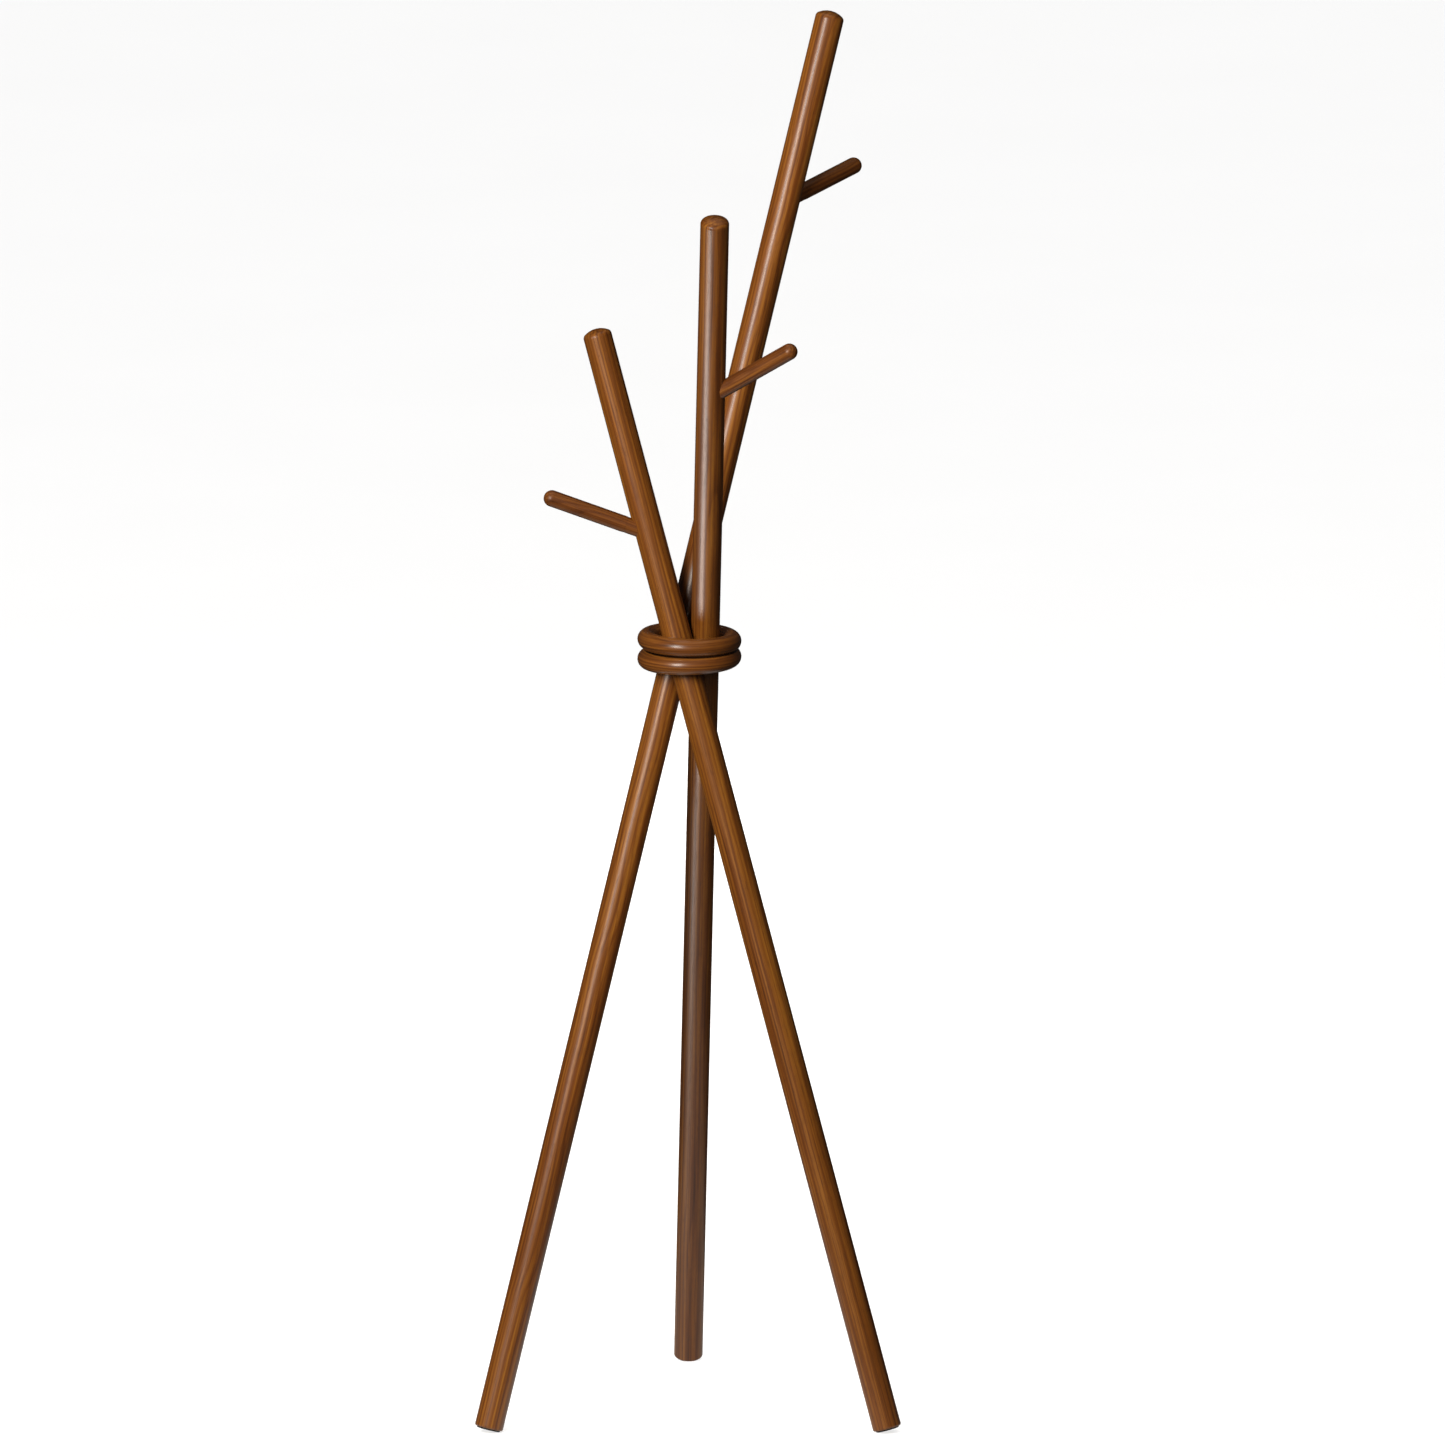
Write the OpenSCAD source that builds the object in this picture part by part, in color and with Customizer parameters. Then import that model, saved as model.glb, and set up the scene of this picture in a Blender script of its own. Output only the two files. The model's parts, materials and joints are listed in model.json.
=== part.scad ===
// Standing coat rack: three round wooden poles of different length cross inside
// two wooden rings, twisted like a tripod. Each pole pivots on a steel pin that
// the rings grip between them, so the spread feet close to a straight bundle.
// Each pole carries one peg, held by a bolt, and stands on a rubber foot pad.
// Millimetres, +Z up, the floor at Z = 0, the medium pole's foot at the back (+Y).

/* [Poles] */
// Diameter of the turned poles
pole_d = 36; // [34:0.5:36.2]
// Straight wall of the tall pole above the crossing
above_tall = 802.5; // [700:0.5:900]
// Straight wall of the medium pole above the crossing
above_medium = 594; // [500:0.5:690]
// Straight wall of the short pole above the crossing
above_short = 404.5; // [300:0.5:490]
// Straight wall of every pole below the crossing
below = 1007.5; // [900:0.5:1100]
// Lean of every pole from the vertical when the rack stands open
lean = 16.5; // [14:0.1:18]
// Distance from the rack's upright centre line to each pole's axis at the crossing
crossing_r = 21.2; // [21.2:0.1:22]
// Direction of the medium pole's crossing point, seen from above
crossing_turn = 4.2; // [0:0.1:8]
// Radius of the rounded rim at a pole's top
top_rim_r = 6.5; // [2:0.5:7.5]
// Height of the domed top above the straight wall
top_dome_h = 10; // [8:0.5:13]
// Radius of the rounded rim at a pole's foot
foot_rim_r = 2.5; // [2:0.5:3]

/* [Rings] */
// Thickness of the wooden rings
ring_thick = 23.5; // [22:0.5:24]
// Outer diameter of the rings
ring_d = 130; // [128:0.5:136]
// Height between the centres of the two rings
ring_pitch = 22.5; // [22:0.5:23]
// Angle by which each ring leans, the upper one to +X and the lower one to -X
ring_lean = 1.5; // [0:0.1:2]
// Sideways offset of the rings from the centre line
ring_offset = 1.8; // [0:0.1:2]
// Distance from the crossing down to where the two rings meet round the pins
ring_drop = 3.3; // [0:0.1:4]

/* [Pegs] */
// Diameter of the pegs
peg_d = 20.8; // [18:0.2:22]
// Length of a peg from the pole's axis to its tip
peg_len = 141; // [120:1:150]
// Height of the tall pole's peg along the pole, above the crossing
peg_up_tall = 568.5; // [500:0.5:620]
// Height of the medium pole's peg along the pole, above the crossing
peg_up_medium = 352; // [300:0.5:400]
// Height of the short pole's peg along the pole, above the crossing
peg_up_short = 150; // [120:0.5:200]
// Direction of the tall pole's peg, seen from above
peg_turn_tall = 48.3; // [40:0.1:60]
// Direction of the medium pole's peg, seen from above
peg_turn_medium = -29; // [-40:0.1:-15]
// Direction of the short pole's peg, seen from above
peg_turn_short = 183.3; // [170:0.1:200]
// Rise of the tall pole's peg above level
peg_rise_tall = 11.4; // [5:0.1:20]
// Rise of the medium pole's peg above level
peg_rise_medium = 31.1; // [25:0.1:35]
// Rise of the short pole's peg above level
peg_rise_short = 20.4; // [15:0.1:25]

/* [Hardware] */
// Diameter of the steel pivot pins
pin_d = 6; // [5:0.5:6]
// Radial clearance of a pivot pin in its pole
pin_gap = 0.05; // [0.02:0.01:0.1]
// Diameter of the bolt that holds a peg
bolt_d = 6; // [5:0.5:6]
// Diameter of the threaded insert in the pole
insert_d = 10; // [9:0.5:11]
// Thickness of the rubber foot pads
pad_h = 2.8; // [2.6:0.1:3.4]
// Depth to which the floor flattens the low rim of a foot pad
pad_flat = 0.8; // [0.4:0.1:0.9]
// Diameter of the foot screw's shank
screw_d = 4; // [3:0.5:5]

/* [Hidden] */
$fn = 96;

TALL = 0;
MEDIUM = 1;
SHORT = 2;
above = [above_tall, above_medium, above_short];
turn = [crossing_turn + 120, crossing_turn, crossing_turn + 240];
peg_up = [peg_up_tall, peg_up_medium, peg_up_short];
peg_turn = [peg_turn_tall, peg_turn_medium, peg_turn_short];
peg_rise = [peg_rise_tall, peg_rise_medium, peg_rise_short];

cut = 0.5;             // overshoot of a cutting tool past the face that it opens
pole_r = pole_d / 2;

// Rings: centre circle of the round section
ring_tube_r = ring_thick / 2;
ring_r = ring_d / 2 - ring_tube_r;

// Foot pads: a shallow recess in the pole's flat end holds the pad
pad_land = 0.8;        // flat wood round the recess
pad_inset = 1;
pad_r = pole_r - foot_rim_r - pad_land;
pad_rim_r = 1.2;
pad_seat = below + foot_rim_r - pad_inset;
// Lowest point of an uncut pad under the end of the pole's straight wall, less the flat
pad_drop = (pad_seat - below + pad_h - pad_rim_r) * cos(lean)
    + (pad_r - pad_rim_r) * sin(lean) + pad_rim_r - pad_flat;
crossing_h = below * cos(lean) + pad_drop;
meet_h = crossing_h - ring_drop;

// Middle of the rack from front to back: the medium foot's back and medium top's front
medium_reach = sin(lean) * cos(crossing_turn);
back_y = crossing_r * sin(crossing_turn) + below * medium_reach + pole_r * cos(lean);
front_y = crossing_r * sin(crossing_turn) - above_medium * medium_reach - pole_r * cos(lean);
middle_y = (back_y + front_y) / 2;

// Pivot pins: from inside the pole to just short of the middle of the rings
pin_r = pin_d / 2;
pin_in = 4;            // the pin's inner end, outward from the pole's axis
pin_out = ring_r - crossing_r - 3;
pin_chamfer = 0.6;

// Pegs: a slightly thinner tenon sits in the pole, and the full wall starts outside it
peg_r = peg_d / 2;
tenon_r = peg_r - 0.3;
tenon_in = 8;          // the tenon's inner end, out along the peg from the pole's axis
peg_wall = 33;         // where the full wall starts, past the whole of the pole's surface
tip_r = peg_r;

// Bolt and insert, along the peg
bolt_r = bolt_d / 2;
bolt_in = -4;
bolt_out = 44;
bolt_shank = 2;        // plain part between the machine thread and the wood thread
thread_pitch = 2;
thread_depth = 0.35;
insert_r = insert_d / 2;
insert_in = -5;
flange_r = insert_r + 1.6;
flange_h = 1.2;
barb_pitch = 3;
barb_depth = 0.5;
// Shares of the pitch at which a ridge's crest starts, its crest ends and the ridge ends
crest_from = 0.35;
crest_to = 0.5;
ridge_to = 0.85;

// Foot screw, up the pole's axis from the pad's underside
screw_r = screw_d / 2;
head_r = screw_d;
head_h = 2;
head_sink = 0.5;
screw_len = 34;
screw_point = 6;       // length of the tapered end
screw_tip_r = 0.3;
drive_r = 1.3;
drive_h = 1.4;

WALNUT = [0.42, 0.24, 0.12];
WALNUT_DARK = [0.36, 0.20, 0.10];
STEEL = [0.72, 0.73, 0.75];
ZINC = [0.80, 0.76, 0.62];
RUBBER = [0.07, 0.07, 0.07];

// Upward direction of a pole and the place of its crossing point
function pole_dir(i) = [sin(lean) * sin(turn[i]), -sin(lean) * cos(turn[i]), cos(lean)];
function crossing(i) = [
    crossing_r * cos(turn[i]), crossing_r * sin(turn[i]) - middle_y, crossing_h
];

// Local Z runs up the pole and local X points away from the rack's centre line
module on_pole(i) {
    translate(crossing(i))
        rotate([0, 0, turn[i]])
            rotate([lean, 0, 0])
                children();
}

// Local Z runs out along the peg from the pole's axis
module on_peg(i) {
    translate(crossing(i) + peg_up[i] * pole_dir(i))
        rotate([0, 90 - peg_rise[i], peg_turn[i]])
            children();
}

// Local Z runs out along the pivot pin from the pole's axis, where the rings meet
module on_pin(i) {
    translate(crossing(i) - ring_drop / cos(lean) * pole_dir(i))
        rotate([0, 90, turn[i]])
            children();
}

// Half outline of a disc end: a quarter-round rim of radius rim under y = 0
module rim_outline(r, rim) {
    translate([r - rim, 0])
        intersection() {
            circle(r = rim);
            translate([0, -rim])
                square(rim);
        }
    translate([0, -rim])
        square([r - rim, rim]);
}

// Half outline of a shallow dome over y = 0 that meets a rounded rim without a crease
module dome_outline(r, rim, h) {
    drop = (pow(r - rim, 2) - pow(h - rim, 2)) / (2 * (h - rim));
    dome_r = h + drop;
    meet_x = dome_r * (r - rim) / (dome_r - rim);
    translate([r - rim, 0])
        intersection() {
            circle(r = rim);
            square(rim);
        }
    square([r - rim, rim / 2]);
    intersection() {
        translate([0, -drop])
            circle(r = dome_r);
        square([meet_x, h]);
    }
}

// Points of one ridge after another, from y = from to y = to, each with a flat crest
function ridge_points(from, to, r, pitch, depth) = [
    for (y = [from : pitch : to - pitch])
        for (p = [[r - depth, 0], [r, crest_from], [r, crest_to], [r - depth, ridge_to]])
            [p[0], y + p[1] * pitch]
];

// Threaded rod about Z, from z = from to z = to
module ridged_rod(from, to, r, pitch, depth) {
    rotate_extrude()
        polygon(concat(
            [[0, from]],
            ridge_points(from, to, r, pitch, depth),
            [[r - depth, to], [0, to]]
        ));
}

// ---- Poles ----
module pole_blank(i) {
    rotate_extrude() {
        translate([0, -below])
            square([pole_r, below + above[i]]);
        translate([0, -below])
            rim_outline(pole_r, foot_rim_r);
        translate([0, above[i]])
            dome_outline(pole_r, top_rim_r, top_dome_h);
    }
}

module peg_holes() {
    translate([0, 0, tenon_in])
        cylinder(r = tenon_r, h = peg_wall - tenon_in);
    translate([0, 0, tenon_in - flange_h])
        cylinder(r = flange_r, h = flange_h + cut);
    translate([0, 0, insert_in])
        cylinder(r = insert_r, h = tenon_in - insert_in);
}

module pole(i) {
    color(i == MEDIUM ? WALNUT_DARK : WALNUT)
        difference() {
            on_pole(i)
                pole_blank(i);
            on_peg(i)
                peg_holes();
            on_pin(i)
                translate([0, 0, pin_in - cut])
                    cylinder(r = pin_r + pin_gap, h = pole_r);
            on_pole(i)
                translate([0, 0, -pad_seat - cut])
                    cylinder(r = screw_r, h = screw_len + cut);
            on_pole(i)
                translate([0, 0, -pad_seat - pad_inset - cut])
                    cylinder(r = pad_r, h = pad_inset + cut);
        }
}

// ---- Rings ----
// side is 1 for the upper ring and -1 for the lower; both are cut flat where they meet
module ring(side) {
    color(WALNUT)
        difference() {
            translate([ring_offset, -middle_y, meet_h + side * ring_pitch / 2])
                rotate([0, side * ring_lean, 0])
                    rotate_extrude()
                        translate([ring_r, 0])
                            circle(r = ring_tube_r);
            translate([-ring_d, -middle_y - ring_d, meet_h - (side > 0 ? ring_thick : 0)])
                cube([2 * ring_d, 2 * ring_d, ring_thick]);
            for (i = [TALL, MEDIUM, SHORT])
                on_pin(i)
                    cylinder(r = pin_r, h = pin_out);
        }
}

// ---- Pivot pins ----
module pivot_pin(i) {
    color(STEEL)
        on_pin(i) {
            translate([0, 0, pin_in])
                cylinder(r1 = pin_r - pin_chamfer, r2 = pin_r, h = pin_chamfer);
            translate([0, 0, pin_in + pin_chamfer])
                cylinder(r = pin_r, h = pin_out - pin_in - 2 * pin_chamfer);
            translate([0, 0, pin_out - pin_chamfer])
                cylinder(r1 = pin_r, r2 = pin_r - pin_chamfer, h = pin_chamfer);
        }
}

// ---- Pegs ----
module peg(i) {
    color(WALNUT_DARK)
        on_peg(i)
            difference() {
                union() {
                    translate([0, 0, tenon_in])
                        cylinder(r = tenon_r, h = peg_wall - tenon_in);
                    translate([0, 0, peg_wall])
                        cylinder(r = peg_r, h = peg_len - tip_r - peg_wall);
                    translate([0, 0, peg_len - tip_r])
                        sphere(r = tip_r);
                }
                translate([0, 0, tenon_in - cut])
                    cylinder(r = bolt_r, h = bolt_out - tenon_in + cut);
            }
}

module peg_bolt(i) {
    color(ZINC)
        on_peg(i) {
            ridged_rod(bolt_in, tenon_in, bolt_r, thread_pitch / 2, thread_depth);
            translate([0, 0, tenon_in])
                cylinder(r = bolt_r - thread_depth, h = bolt_shank);
            ridged_rod(tenon_in + bolt_shank, bolt_out, bolt_r, thread_pitch, thread_depth);
        }
}

module peg_insert(i) {
    color(ZINC)
        on_peg(i)
            difference() {
                union() {
                    ridged_rod(insert_in, tenon_in - flange_h, insert_r, barb_pitch, barb_depth);
                    translate([0, 0, tenon_in - flange_h])
                        cylinder(r = flange_r, h = flange_h);
                }
                translate([0, 0, insert_in - cut])
                    cylinder(r = bolt_r, h = tenon_in - insert_in + 2 * cut);
            }
}

// ---- Feet ----
module foot_pad(i) {
    color(RUBBER)
        difference() {
            on_pole(i)
                translate([0, 0, -pad_seat])
                    difference() {
                        rotate_extrude() {
                            translate([0, -pad_h + pad_rim_r])
                                square([pad_r, pad_h - pad_rim_r]);
                            translate([0, -pad_h + pad_rim_r])
                                rim_outline(pad_r, pad_rim_r);
                        }
                        translate([0, 0, -pad_h - cut])
                            cylinder(r = screw_r, h = pad_h + 2 * cut);
                        translate([0, 0, -pad_h - cut])
                            cylinder(r = head_r, h = cut + head_sink);
                        translate([0, 0, -pad_h + head_sink])
                            cylinder(r1 = head_r, r2 = screw_r, h = head_h);
                    }
            translate([-below, -below, -pole_d])
                cube([2 * below, 2 * below, pole_d]);
        }
}

module foot_screw(i) {
    color(ZINC)
        on_pole(i)
            translate([0, 0, -pad_seat - pad_h + head_sink])
                difference() {
                    union() {
                        cylinder(r1 = head_r, r2 = screw_r, h = head_h);
                        translate([0, 0, head_h])
                            cylinder(r = screw_r, h = screw_len - head_h - screw_point);
                        translate([0, 0, screw_len - screw_point])
                            cylinder(r1 = screw_r, r2 = screw_tip_r, h = screw_point);
                    }
                    translate([0, 0, -cut])
                        cylinder(r = drive_r, h = drive_h + cut, $fn = 6);
                }
}

pole(TALL);  // pole_tall
pole(MEDIUM);  // pole_medium
pole(SHORT);  // pole_short
ring(1);  // ring_upper
ring(-1);  // ring_lower
pivot_pin(TALL);  // pivot_pin_tall
pivot_pin(MEDIUM);  // pivot_pin_medium
pivot_pin(SHORT);  // pivot_pin_short
peg(TALL);  // peg_tall
peg(MEDIUM);  // peg_medium
peg(SHORT);  // peg_short
peg_bolt(TALL);  // peg_bolt_tall
peg_bolt(MEDIUM);  // peg_bolt_medium
peg_bolt(SHORT);  // peg_bolt_short
peg_insert(TALL);  // peg_insert_tall
peg_insert(MEDIUM);  // peg_insert_medium
peg_insert(SHORT);  // peg_insert_short
foot_pad(TALL);  // foot_pad_tall
foot_pad(MEDIUM);  // foot_pad_medium
foot_pad(SHORT);  // foot_pad_short
foot_screw(TALL);  // foot_screw_tall
foot_screw(MEDIUM);  // foot_screw_medium
foot_screw(SHORT);  // foot_screw_short
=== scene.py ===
import json
import math

import bpy
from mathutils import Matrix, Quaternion, Vector


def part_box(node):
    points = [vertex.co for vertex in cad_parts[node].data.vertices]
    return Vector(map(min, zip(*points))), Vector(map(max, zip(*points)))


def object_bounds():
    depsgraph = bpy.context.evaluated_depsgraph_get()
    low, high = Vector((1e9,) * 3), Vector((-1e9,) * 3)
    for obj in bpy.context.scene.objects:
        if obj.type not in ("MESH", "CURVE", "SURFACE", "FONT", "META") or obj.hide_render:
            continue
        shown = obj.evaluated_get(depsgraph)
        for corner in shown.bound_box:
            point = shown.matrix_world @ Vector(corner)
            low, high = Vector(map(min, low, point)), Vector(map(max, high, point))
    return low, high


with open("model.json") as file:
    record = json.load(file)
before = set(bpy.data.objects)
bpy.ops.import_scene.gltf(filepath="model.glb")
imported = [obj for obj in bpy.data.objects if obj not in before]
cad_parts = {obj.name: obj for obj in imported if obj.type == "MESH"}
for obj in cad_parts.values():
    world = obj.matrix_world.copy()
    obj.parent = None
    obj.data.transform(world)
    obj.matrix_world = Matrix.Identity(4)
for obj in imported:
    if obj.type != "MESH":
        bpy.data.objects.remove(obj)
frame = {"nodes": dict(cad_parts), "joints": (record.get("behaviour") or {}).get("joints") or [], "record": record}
cad_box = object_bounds()

# ---------------------------------------------------------------- the camera and its framing
CAMERA_ELEVATION = math.radians(11.65)
CAMERA_DISTANCE = 80.0        # metres; so far that the view is all but parallel
FRAME_WIDTH = 1.806           # metres across the picture at the aim point
SENSOR_WIDTH = 36.0           # mm
AIM = Vector((0.0431, 0.0, 0.8631))

# ---------------------------------------------------------------- the studio
FLOOR_REACH = 400.0           # metres from the middle to each edge
FLOOR_GREY = 0.8
KEY_WARMTH = (1.0, 0.94, 0.87)
FILL_WARMTH = (1.0, 0.95, 0.9)
KEY_AIM_HEIGHT = 1.2          # metres
FAR_LAMP = 4.1                # metres from the rack's upright line
NEAR_LAMP = 2.8
NEAR_LAMP_HEIGHT = 2.6
NEAR_LAMP_SIZE = (1.6, 1.4)
TOP_HEIGHT = 4.2
TOP_REACH = 3.0               # metres from the top lamp down to the upper half of the rack
BOUNCE_SIDE = 1.1             # metres; the square lamp under the floor
BOUNCE_DEPTH = 0.02
LOW_KICK_REACH = 1.9          # metres from the low lamp to its aim
LOW_KICK_AIM_HEIGHT = 1.3
SUN_ENERGY = 3.6
SUN_SPREAD = math.radians(70.0)
ROOM_LIGHT = 0.04             # the surroundings' strength on matt surfaces
ROOM_GLOSS = 0.015            # and in the gloss
ROOM_TINT = (1.0, 0.97, 0.93, 1.0)

MM = 0.001
PIECES = ("tall", "medium", "short")


# ---------------------------------------------------------------- where things are, from the frame
def record_entry(entries, name):
    """The entry of that name in one of the record's lists."""
    return next(entry for entry in entries if entry["name"] == name)


def pole_axis(which):
    """A point on a pole's axis, and the axis itself at rest, pointing up. The fold's whole range
    brings the pole upright, so turning the vertical back by that range gives the rest direction."""
    fold = record_entry(frame["joints"], which + "_fold")
    lean = math.radians(fold["range_deg"][1])
    turn = Quaternion(Vector(fold["axis"]), -lean)
    return Vector(fold["pos_m"]), turn @ Vector((0.0, 0.0, 1.0))


def peg_axis(which):
    """The middle of a peg and its direction, away from the pole."""
    mount = record_entry(frame["record"]["mounts"], "peg_" + which)
    return Vector(mount["pos_m"]), Vector(mount["axis"])


def pin_axis(which):
    """A point on a pivot pin's axis, and the axis."""
    fold = record_entry(frame["joints"], which + "_fold")
    return Vector(fold["pos_m"]), Vector(fold["axis"])


def ring_axis(node):
    """A ring's centre and the direction of its own axis, found from its mesh: the axis is the
    direction in which the ring is thinnest."""
    corners = [vertex.co for vertex in frame["nodes"][node].data.vertices]
    low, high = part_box(node)
    centre = (low + high) / 2
    spread_x = sum((co.x - centre.x) * (co.z - centre.z) for co in corners)
    width_x = sum((co.x - centre.x) ** 2 for co in corners)
    slope = spread_x / width_x
    return centre, Vector((-slope, 0.0, 1.0)).normalized()


# ---------------------------------------------------------------- node building
class Graph:
    """One node material, built link by link. Values may be numbers, tuples or output sockets."""

    def __init__(self, name):
        self.material = bpy.data.materials.new(name)
        self.material.use_nodes = True
        self.tree = self.material.node_tree
        self.tree.nodes.clear()

    def put(self, socket, value):
        if isinstance(value, bpy.types.NodeSocket):
            self.tree.links.new(value, socket)
        else:
            socket.default_value = value

    def add(self, kind, values, **settings):
        node = self.tree.nodes.new(kind)
        for key, value in settings.items():
            setattr(node, key, value)
        for socket, value in values.items():
            self.put(node.inputs[socket], value)
        return node

    def math(self, operation, a, b=0.0):
        return self.add("ShaderNodeMath", {0: a, 1: b}, operation=operation).outputs[0]

    def scaled(self, vector, factors, offset):
        """vector * factors + offset"""
        values = {0: vector, 1: factors, 2: offset}
        return self.add("ShaderNodeVectorMath", values, operation="MULTIPLY_ADD").outputs[0]

    def split(self, vector):
        node = self.add("ShaderNodeSeparateXYZ", {0: vector})
        return node.outputs[0], node.outputs[1], node.outputs[2]

    def step(self, value, low, high, start=0.0, end=1.0):
        """A smooth change from start to end as value goes from low to high."""
        values = {"Value": value, "From Min": low, "From Max": high, "To Min": start, "To Max": end}
        return self.add("ShaderNodeMapRange", values, interpolation_type="SMOOTHSTEP").outputs[0]

    def blend(self, factor, a, b, how="MIX"):
        values = {0: factor, 6: a, 7: b}
        return self.add("ShaderNodeMix", values, data_type="RGBA", blend_type=how).outputs[2]

    def ramp(self, value, stops):
        """A grey or colour ramp; stops are (position, colour)."""
        node = self.add("ShaderNodeValToRGB", {0: value})
        elements = node.color_ramp.elements
        elements[0].position, elements[0].color = stops[0]
        elements[1].position, elements[1].color = stops[-1]
        for position, colour in stops[1:-1]:
            elements.new(position).color = colour
        return node.outputs[0]

    def bump(self, height, depth, strength=1.0):
        values = {"Height": height, "Distance": depth, "Strength": strength}
        return self.add("ShaderNodeBump", values).outputs[0]

    def finish(self, **values):
        """Ends the material in one Principled shader. Socket names have their spaces as _."""
        sockets = {name.replace("_", " "): value for name, value in values.items()}
        shader = self.add("ShaderNodeBsdfPrincipled", sockets)
        output = self.add("ShaderNodeOutputMaterial", {})
        self.tree.links.new(shader.outputs[0], output.inputs[0])
        return self.material


def own_frame(graph, place, along):
    """Millimetres in a piece's own frame, with its middle at place and Z along it."""
    values = {
        "Vector": graph.add("ShaderNodeTexCoord", {}).outputs["Object"],
        "Location": place,
        "Rotation": along.to_track_quat("Z", "Y").to_euler(),
        "Scale": (MM, MM, MM),
    }
    return graph.add("ShaderNodeMapping", values, vector_type="TEXTURE").outputs[0]


class StraightGrain:
    """Fibres along a straight piece's own axis."""

    def __init__(self, graph, place, along, seed):
        self.graph = graph
        self.own = own_frame(graph, place, along)
        self.across_x, self.across_y, self.along = graph.split(self.own)
        self.seed = seed

    def noise(self, across, along, detail=2.0, roughness=0.5, shift=0.0):
        """Noise with that many features per mm across and along the fibres, from 0 to 1."""
        offset = (self.seed + shift, 2.0 * self.seed - shift, 3.0 * self.seed)
        vector = self.graph.scaled(self.own, (across, across, along), offset)
        values = {"Vector": vector, "Scale": 1.0, "Detail": detail, "Roughness": roughness}
        return self.graph.add("ShaderNodeTexNoise", values).outputs["Fac"]


class RingGrain:
    """Fibres that run round a ring, with no seam where they meet."""

    def __init__(self, graph, place, axis, radius, seed):
        self.graph = graph
        self.radius = radius
        self.seed = seed
        own_x, own_y, self.across_y = graph.split(own_frame(graph, place, axis))
        out = graph.math("SQRT", graph.math("ADD", graph.math("MULTIPLY", own_x, own_x),
                                            graph.math("MULTIPLY", own_y, own_y)))
        self.across_x = graph.math("SUBTRACT", out, radius)
        values = {0: graph.math("DIVIDE", own_x, out), 1: graph.math("DIVIDE", own_y, out),
                  2: self.across_x}
        self.turned = graph.add("ShaderNodeCombineXYZ", values).outputs[0]

    def noise(self, across, along, detail=2.0, roughness=0.5, shift=0.0):
        """Noise with that many features per mm across and along the fibres, from 0 to 1."""
        reach = self.radius * along
        offset = (self.seed + shift, 2.0 * self.seed - shift, 3.0 * self.seed)
        values = {
            "Vector": self.graph.scaled(self.turned, (reach, reach, across), offset),
            "W": self.graph.math("MULTIPLY", self.across_y, across),
            "Scale": 1.0, "Detail": detail, "Roughness": roughness,
        }
        node = self.graph.add("ShaderNodeTexNoise", values, noise_dimensions="4D")
        return node.outputs["Fac"]


# ---------------------------------------------------------------- materials
def grey(level):
    return (level, level, level, 1.0)


SWAY = 40.0                   # mm, the whole range that a year ring wanders over along a piece
WAVER = 5.0                   # mm, the same from place to place
# How much each kind of figure adds to the tone of the wood
RING_SHARE, BAND_SHARE, STREAK_SHARE, FIBRE_SHARE = 0.26, 0.28, 0.26, 0.30
REDDISH_TINT = (0.72, 0.50, 0.48, 1.0)
PORE_COLOUR = (0.02, 0.006, 0.002, 1.0)
# The colour of shade painted into crevices: at the pole crossing and in the ring groove
PAINTED_SHADE_COLOUR = (0.012, 0.004, 0.002, 1.0)
PORE_DARKNESS = 0.5
FIBRE_RELIEF = 0.35           # of a pore's depth
PORE_DEPTH = 0.00003          # metres
SHEEN_CHANGE = 0.10           # how much rougher the sheen gets in places and in the pores
COAT_ROUGHNESS = 0.28
LACQUER_IOR = 1.48


def growth_rings(graph, grain, pith, spacing):
    """The year rings that a piece cuts through, as a tone from 0, late wood, to 1, early wood.
    pith is where the tree's centre lies, in mm from the piece's own axis."""
    sway = graph.math("MULTIPLY", graph.math("SUBTRACT", grain.noise(0.004, 0.0035), 0.5), SWAY)
    waver = graph.math("MULTIPLY", graph.math("SUBTRACT", grain.noise(0.09, 0.005), 0.5), WAVER)
    x = graph.math("ADD", graph.math("SUBTRACT", grain.across_x, pith[0]), sway)
    y = graph.math("SUBTRACT", grain.across_y, pith[1])
    squares = graph.math("ADD", graph.math("MULTIPLY", x, x), graph.math("MULTIPLY", y, y))
    distance = graph.math("ADD", graph.math("SQRT", squares), waver)
    year = graph.math("FRACT", graph.math("DIVIDE", distance, spacing))
    return graph.ramp(year, [(0.0, grey(0.1)), (0.10, grey(0.8)), (0.5, grey(1.0)),
                             (0.86, grey(0.35)), (1.0, grey(0.1))])


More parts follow.
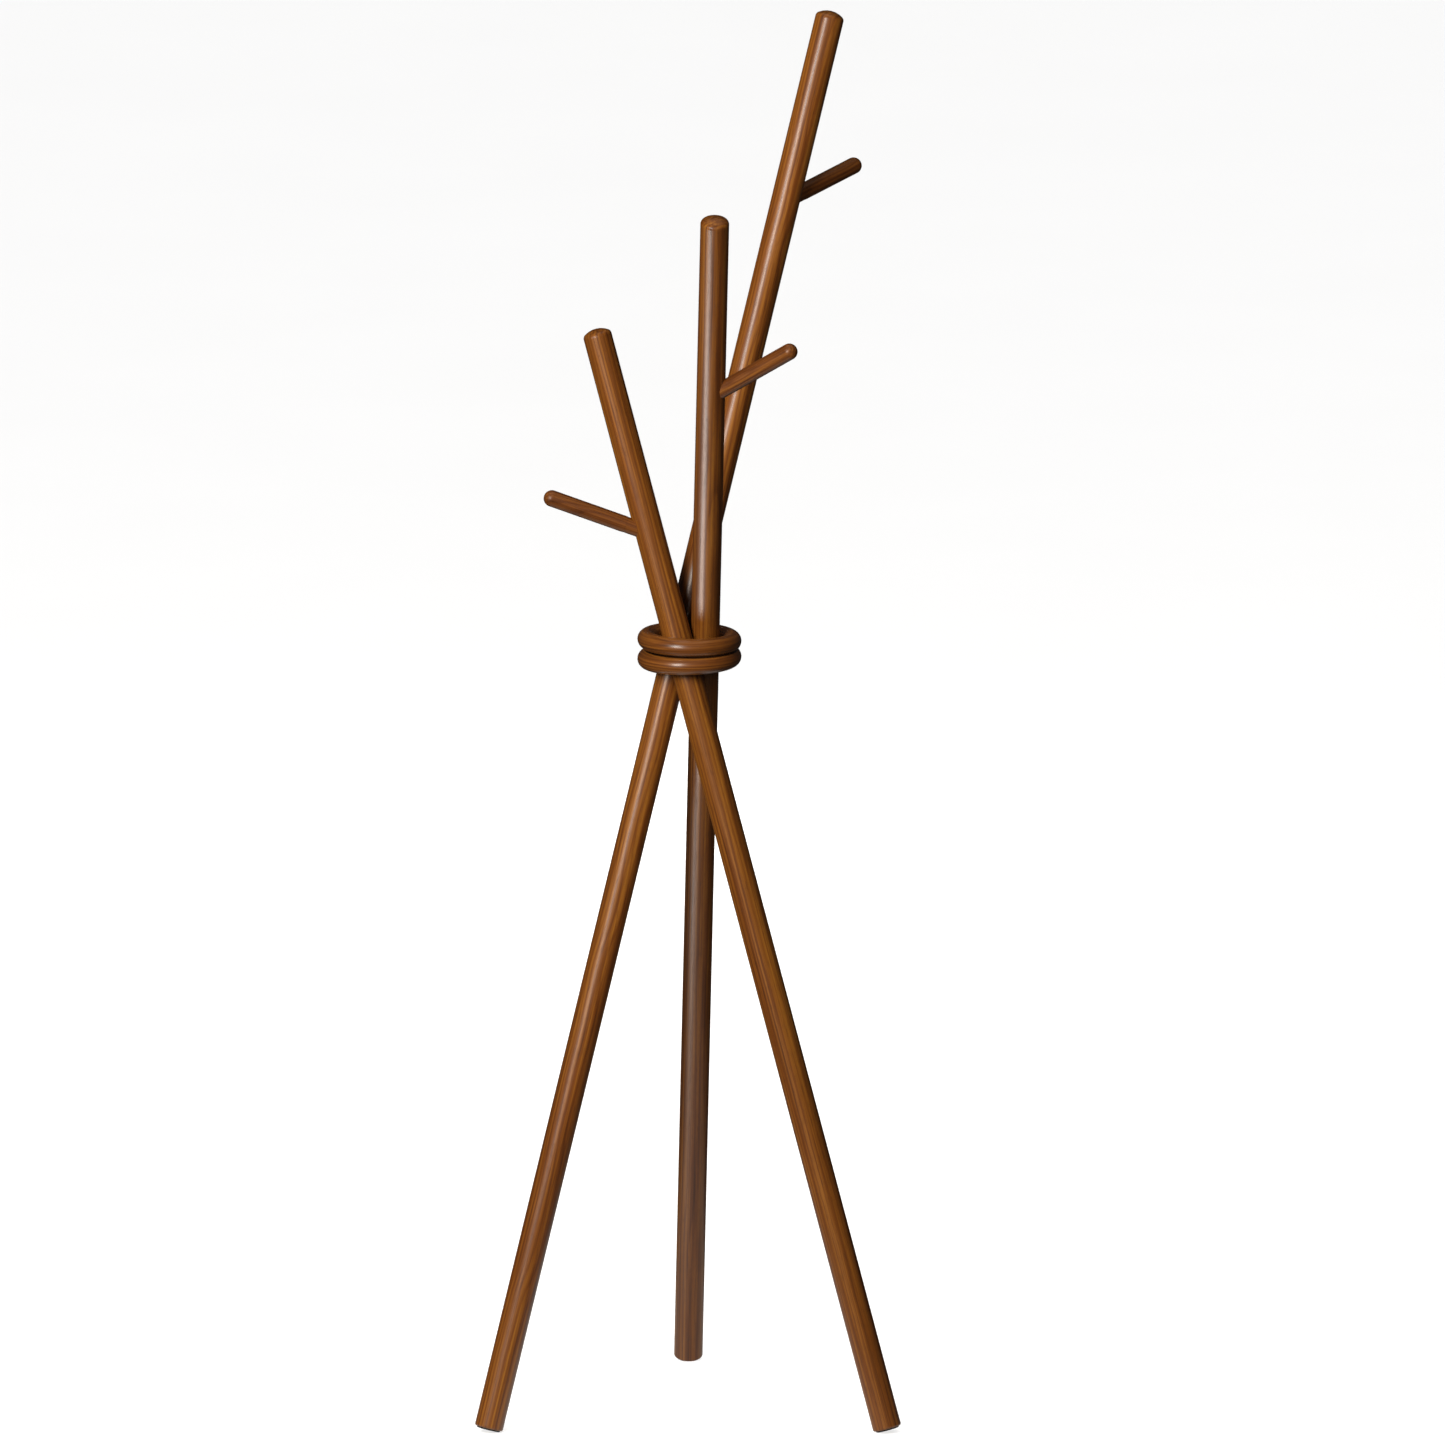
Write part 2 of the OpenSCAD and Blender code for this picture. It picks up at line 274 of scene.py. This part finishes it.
def lacquered_walnut(name, grain_of, pith, spacing, tones, roughness, lacquer, painted_shade=None):
    """Satin lacquered, stained wood: year rings, broad colour bands, fibres and open pores.
    The last argument, a function of the graph, gives where shade is painted into the colour, from 0 to 1."""
    graph = Graph(name)
    grain = grain_of(graph)
    rings = growth_rings(graph, grain, pith, spacing)
    bands = graph.step(grain.noise(0.11, 0.0020, 3.0, 0.6), 0.30, 0.70)
    streaks = graph.step(grain.noise(0.42, 0.0045, 2.0, 0.55, shift=5.0), 0.30, 0.70)
    fibres = grain.noise(1.3, 0.012, 2.0, 0.6, shift=11.0)
    tone = graph.math("ADD", graph.math("ADD", graph.math("MULTIPLY", rings, RING_SHARE),
                                        graph.math("MULTIPLY", bands, BAND_SHARE)),
                      graph.math("ADD", graph.math("MULTIPLY", streaks, STREAK_SHARE),
                                 graph.math("MULTIPLY", fibres, FIBRE_SHARE)))
    dark, middle, light = tones
    colour = graph.ramp(tone, [(0.15, dark), (0.55, middle), (0.95, light)])
    reddish = graph.step(grain.noise(0.06, 0.003, 2.0, 0.5, shift=23.0), 0.45, 0.75, 0.0, 0.35)
    colour = graph.blend(reddish, colour, REDDISH_TINT, "MULTIPLY")
    pores = graph.step(grain.noise(2.6, 0.06, 1.0, 0.5, shift=37.0), 0.60, 0.70)
    colour = graph.blend(graph.math("MULTIPLY", pores, PORE_DARKNESS), colour, PORE_COLOUR)
    # Shade painted into the colour where the mask is set
    if painted_shade:
        colour = graph.blend(painted_shade(graph), colour, PAINTED_SHADE_COLOUR)
    uneven = grain.noise(0.03, 0.012, 2.0, 0.5, shift=51.0)
    sheen = graph.math("ADD", graph.math("MULTIPLY", uneven, SHEEN_CHANGE),
                       graph.math("MULTIPLY", pores, SHEEN_CHANGE))
    height = graph.math("SUBTRACT", graph.math("MULTIPLY", fibres, FIBRE_RELIEF), pores)
    return graph.finish(
        Base_Color=colour,
        Roughness=graph.math("ADD", sheen, roughness),
        Normal=graph.bump(height, PORE_DEPTH),
        Coat_Weight=lacquer,
        Coat_Roughness=COAT_ROUGHNESS,
        IOR=LACQUER_IOR,
    )


def pad_rubber(name, place, axis):
    """Moulded black rubber, with a fine matt skin and a little floor dust in patches."""
    graph = Graph(name)
    own = own_frame(graph, place, axis)
    skin_noise = graph.add("ShaderNodeTexNoise", {"Vector": own, "Scale": 3.2, "Detail": 4.0})
    skin = skin_noise.outputs["Fac"]
    smears = graph.add("ShaderNodeTexNoise", {"Vector": own, "Scale": 0.18, "Detail": 3.0})
    dust = graph.step(smears.outputs["Fac"], 0.45, 0.75, 0.0, 0.35)
    black, dusty = (0.012, 0.012, 0.013, 1.0), (0.07, 0.065, 0.06, 1.0)
    colour = graph.blend(dust, black, dusty)
    return graph.finish(
        Base_Color=colour,
        Roughness=graph.step(skin, 0.3, 0.7, 0.62, 0.85),
        Normal=graph.bump(skin, 0.00006),
        Specular_IOR_Level=0.35,
    )


def turned_metal(name, place, axis, colour, tarnish, roughness):
    """Metal turned or rolled about its axis: fine marks round it, and a plating that varies."""
    graph = Graph(name)
    own = own_frame(graph, place, axis)
    marks_at = graph.scaled(own, (0.12, 0.12, 9.0), (4.0, 5.0, 6.0))
    marks = graph.add("ShaderNodeTexNoise", {"Vector": marks_at, "Scale": 1.0, "Detail": 2.0})
    plating = graph.add("ShaderNodeTexNoise", {"Vector": own, "Scale": 0.35, "Detail": 3.0})
    tint = graph.step(plating.outputs["Fac"], 0.35, 0.7)
    height = marks.outputs["Fac"]
    return graph.finish(
        Base_Color=graph.blend(tint, colour, tarnish),
        Metallic=1.0,
        Roughness=graph.step(height, 0.3, 0.7, roughness, roughness + 0.16),
        Normal=graph.bump(height, 0.00001),
    )


def paint(node, material):
    """Gives a CAD node's object that material in every slot."""
    mesh = frame["nodes"][node].data
    mesh.materials.clear()
    mesh.materials.append(material)


# Dark, middle and light stain colours of each kind of piece
POLE_TONES = ((0.055, 0.015, 0.0030, 1.0), (0.186, 0.057, 0.0075, 1.0), (0.372, 0.142, 0.0180, 1.0))
PEG_TONES = ((0.046, 0.013, 0.0034, 1.0), (0.138, 0.042, 0.0075, 1.0), (0.268, 0.098, 0.0175, 1.0))
RING_TONES = ((0.050, 0.015, 0.0030, 1.0), (0.160, 0.050, 0.0080, 1.0), (0.330, 0.122, 0.0180, 1.0))

# Where each piece's wood grew, in mm from its own axis, and how far apart its year rings are
PITHS = {"tall": (38.0, 22.0), "medium": (-24.0, 47.0), "short": (18.0, -30.0)}
YEAR = {"tall": 5.2, "medium": 4.4, "short": 4.8}
SEEDS = {"tall": 3.7, "medium": 21.3, "short": 47.9}
# How much lighter or darker each pole took the stain
SHADES = {"tall": 1.04, "medium": 0.82, "short": 0.94}
# How much clear lacquer lies on each kind of piece, and how rough the stained wood is under it
LACQUERS = {"tall": 0.6, "medium": 0.25, "short": 0.2}
PEG_LACQUER = 0.25
RING_LACQUER = 0.9
POLE_ROUGHNESS, PEG_ROUGHNESS, RING_ROUGHNESS = 0.36, 0.37, 0.31
PEG_YEAR = 0.8                # of the year-ring spacing of the pole that carries the peg
PEG_SEED_SHIFT = 7.0
RING_YEAR = 3.6               # mm


def shaded(tones, share):
    """The same colours, lighter or darker."""
    return [(red * share, green * share, blue * share, 1.0) for red, green, blue, _ in tones]


def painted_shade_band(graph, level, fade_in, fade_out, strength):
    """Painted shade in a level band: it fades in and out at heights in mm over that level."""
    at = graph.add("ShaderNodeTexCoord", {}).outputs["Object"]
    up = graph.math("SUBTRACT", graph.math("DIVIDE", graph.split(at)[2], MM), level)
    under = graph.step(up, *fade_in)
    over = graph.step(up, *fade_out, 1.0, 0.0)
    return graph.math("MULTIPLY", graph.math("MULTIPLY", under, over), strength)


def crossing_painted_shade(graph, crossing):
    """Painted shade on the tall pole over the crossing's height in mm, where the others crowd it
    and shade it."""
    return painted_shade_band(graph, crossing, (0.0, 12.0), (70.0, 150.0), 0.8)


def groove_painted_shade(graph, meet):
    """Painted shade in the groove round the height, in mm, where the two rings meet."""
    return painted_shade_band(graph, meet, (-1.6, -0.8), (2.4, 3.6), 0.9)


def finish_poles():
    for which in PIECES:
        place, along = pole_axis(which)
        material = lacquered_walnut(
            "walnut_pole_" + which,
            lambda graph: StraightGrain(graph, place, along, SEEDS[which]),
            PITHS[which], YEAR[which], shaded(POLE_TONES, SHADES[which]),
            POLE_ROUGHNESS, LACQUERS[which],
            # Only the tall pole gets painted shade over the crossing
            (lambda graph: crossing_painted_shade(graph, place.z / MM)) if which == "tall" else None)
        paint("pole_" + which, material)


def finish_pegs():
    for which in PIECES:
        place, along = peg_axis(which)
        material = lacquered_walnut(
            "walnut_peg_" + which,
            lambda graph: StraightGrain(graph, place, along, SEEDS[which] + PEG_SEED_SHIFT),
            (PITHS[which][1], PITHS[which][0]), YEAR[which] * PEG_YEAR,
            PEG_TONES, PEG_ROUGHNESS, PEG_LACQUER)
        paint("peg_" + which, material)


def finish_rings():
    meet = pin_axis("tall")[0].z / MM
    for order, node in enumerate(("ring_upper", "ring_lower")):
        place, axis = ring_axis(node)
        low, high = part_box(node)
        radius = ((high.y - low.y) / 2 - (high.z - low.z) / 2) / MM
        material = lacquered_walnut(
            "walnut_" + node,
            lambda graph: RingGrain(graph, place, axis, radius, 70.0 + 13.0 * order),
            (31.0 - 9.0 * order, 17.0), RING_YEAR, RING_TONES, RING_ROUGHNESS, RING_LACQUER,
            # Painted shade in the groove where the two rings meet
            lambda graph: groove_painted_shade(graph, meet))
        paint(node, material)


def finish_hardware():
    zinc, straw = (0.60, 0.50, 0.30, 1.0), (0.52, 0.36, 0.14, 1.0)
    steel, smoke = (0.56, 0.57, 0.58, 1.0), (0.36, 0.35, 0.34, 1.0)
    for which in PIECES:
        pole_place, pole_along = pole_axis(which)
        peg_place, peg_along = peg_axis(which)
        pin_place, pin_along = pin_axis(which)
        paint("foot_pad_" + which, pad_rubber("rubber_" + which, pole_place, pole_along))
        paint("foot_screw_" + which,
              turned_metal("zinc_screw_" + which, pole_place, pole_along, zinc, straw, 0.3))
        paint("peg_bolt_" + which,
              turned_metal("zinc_bolt_" + which, peg_place, peg_along, zinc, straw, 0.28))
        paint("peg_insert_" + which,
              turned_metal("zinc_insert_" + which, peg_place, peg_along, zinc, straw, 0.34))
        paint("pivot_pin_" + which,
              turned_metal("steel_pin_" + which, pin_place, pin_along, steel, smoke, 0.2))


# ---------------------------------------------------------------- the studio
def build_floor():
    """A plain pale floor, only for the eye: it doesn't light the object, isn't mirrored in it,
    and lets the lamp under it through."""
    mesh = bpy.data.meshes.new("floor")
    reach = FLOOR_REACH
    corners = [(-reach, -reach, 0.0), (reach, -reach, 0.0), (reach, reach, 0.0), (-reach, reach, 0.0)]
    mesh.from_pydata(corners, [], [(0, 1, 2, 3)])
    floor = bpy.data.objects.new("floor", mesh)
    bpy.context.scene.collection.objects.link(floor)
    graph = Graph("floor_paper")
    at = graph.add("ShaderNodeTexCoord", {}).outputs["Object"]
    fleck = graph.add("ShaderNodeTexNoise", {"Vector": at, "Scale": 3.0, "Detail": 2.0})
    paper = graph.blend(fleck.outputs["Fac"], grey(FLOOR_GREY), grey(FLOOR_GREY * 1.02))
    mesh.materials.append(graph.finish(Base_Color=paper, Roughness=0.9))
    floor.visible_glossy = False
    floor.visible_diffuse = False
    floor.visible_shadow = False
    return floor


def build_world():
    """White behind the object, soft light on it, and dim surroundings in its gloss."""
    world = bpy.data.worlds.new("studio")
    bpy.context.scene.world = world
    world.use_nodes = True
    tree = world.node_tree
    tree.nodes.clear()

    def background(level, colour=(1.0, 1.0, 1.0, 1.0)):
        node = tree.nodes.new("ShaderNodeBackground")
        node.inputs["Color"].default_value = colour
        node.inputs["Strength"].default_value = level
        return node.outputs[0]

    def choose(switch, off, on):
        node = tree.nodes.new("ShaderNodeMixShader")
        tree.links.new(switch, node.inputs[0])
        tree.links.new(off, node.inputs[1])
        tree.links.new(on, node.inputs[2])
        return node.outputs[0]

    rays = tree.nodes.new("ShaderNodeLightPath").outputs
    lit = choose(rays["Is Glossy Ray"], background(ROOM_LIGHT, ROOM_TINT),
                 background(ROOM_GLOSS))
    seen = choose(rays["Is Camera Ray"], lit, background(1.0))
    tree.links.new(seen, tree.nodes.new("ShaderNodeOutputWorld").inputs[0])


def softbox(name, place, aim, size, watts, colour):
    """A rectangular soft light at place that faces aim. It isn't seen by the camera."""
    light = bpy.data.lights.new(name, "AREA")
    light.shape = "RECTANGLE"
    light.size, light.size_y = size
    light.energy = watts
    light.color = colour
    lamp = bpy.data.objects.new(name, light)
    lamp.location = place
    lamp.rotation_mode = "QUATERNION"
    lamp.rotation_quaternion = (Vector(aim) - Vector(place)).to_track_quat("-Z", "Y")
    lamp.visible_camera = False
    bpy.context.scene.collection.objects.link(lamp)
    return lamp


def only_for(lamp, *receivers):
    """Light linking: the lamp lights only these objects."""
    group = bpy.data.collections.new(lamp.name + "_receivers")
    for receiver in receivers:
        group.objects.link(receiver)
    lamp.light_linking.receiver_collection = group


def place_round(azimuth, distance, height):
    """A point that far from the rack's upright line. Azimuth 0 is the camera's side, 90 its right."""
    low, high = cad_box
    turn = math.radians(azimuth)
    middle = (low + high) / 2
    return (middle.x + distance * math.sin(turn), middle.y - distance * math.cos(turn), height)


def watts_for(level, distance):
    """The power that a softbox at that distance needs to light a white card to that level."""
    return level * math.pi ** 2 * distance ** 2


def build_lights(floor):
    low, high = cad_box
    middle = (low + high) / 2
    key_aim = (middle.x, middle.y, KEY_AIM_HEIGHT)
    softbox("key", place_round(-28, FAR_LAMP, 2.5), key_aim, (1.1, 1.5),
            watts_for(0.58, FAR_LAMP), KEY_WARMTH)
    skirt = softbox("key_skirt", place_round(-32, NEAR_LAMP, NEAR_LAMP_HEIGHT), key_aim,
                    NEAR_LAMP_SIZE, watts_for(0.95, NEAR_LAMP), KEY_WARMTH)
    fill = softbox("fill", place_round(22, NEAR_LAMP, NEAR_LAMP_HEIGHT), key_aim,
                   NEAR_LAMP_SIZE, watts_for(0.17, NEAR_LAMP), FILL_WARMTH)
    softbox("top", (middle.x, middle.y, TOP_HEIGHT), middle, (2.5, 2.5),
            watts_for(0.12, TOP_REACH), FILL_WARMTH)
    behind = softbox("back", place_round(180, FAR_LAMP, 1.6), middle, (2.6, 2.4),
                     watts_for(0.35, FAR_LAMP), FILL_WARMTH)
    for matt_only in (skirt, fill, behind):
        matt_only.visible_glossy = False
    softbox("floor_bounce", (middle.x, middle.y, -BOUNCE_DEPTH), middle,
            (BOUNCE_SIDE, BOUNCE_SIDE), 0.5 * math.pi * BOUNCE_SIDE ** 2, FILL_WARMTH)
    low_kick = softbox("low_kick", place_round(-44, 1.45, 0.02),
                       (middle.x, middle.y, LOW_KICK_AIM_HEIGHT), (0.85, 0.8),
                       watts_for(0.9, LOW_KICK_REACH), KEY_WARMTH)
    low_kick.visible_diffuse = False
    only_for(low_kick, frame["nodes"]["pole_medium"])
    only_for(floor_sun(), floor)


def floor_sun():
    """An even light from above, without shadows, that whitens the floor."""
    sun = bpy.data.lights.new("floor_sun", "SUN")
    sun.energy = SUN_ENERGY
    sun.angle = SUN_SPREAD
    sun.use_shadow = False
    lamp = bpy.data.objects.new("floor_sun", sun)
    bpy.context.scene.collection.objects.link(lamp)
    return lamp


def build_camera():
    data = bpy.data.cameras.new("camera")
    data.sensor_width = SENSOR_WIDTH
    data.lens = SENSOR_WIDTH * CAMERA_DISTANCE / FRAME_WIDTH
    data.clip_end = FLOOR_REACH
    camera = bpy.data.objects.new("camera", data)
    to_camera = Vector((0.0, -math.cos(CAMERA_ELEVATION), math.sin(CAMERA_ELEVATION)))
    camera.location = AIM + to_camera * CAMERA_DISTANCE
    camera.rotation_mode = "QUATERNION"
    camera.rotation_quaternion = (-to_camera).to_track_quat("-Z", "Y")
    bpy.context.scene.collection.objects.link(camera)
    bpy.context.scene.camera = camera


build_camera()
build_world()
build_lights(build_floor())
bpy.context.scene.view_settings.view_transform = "Standard"
finish_poles()
finish_pegs()
finish_rings()
finish_hardware()
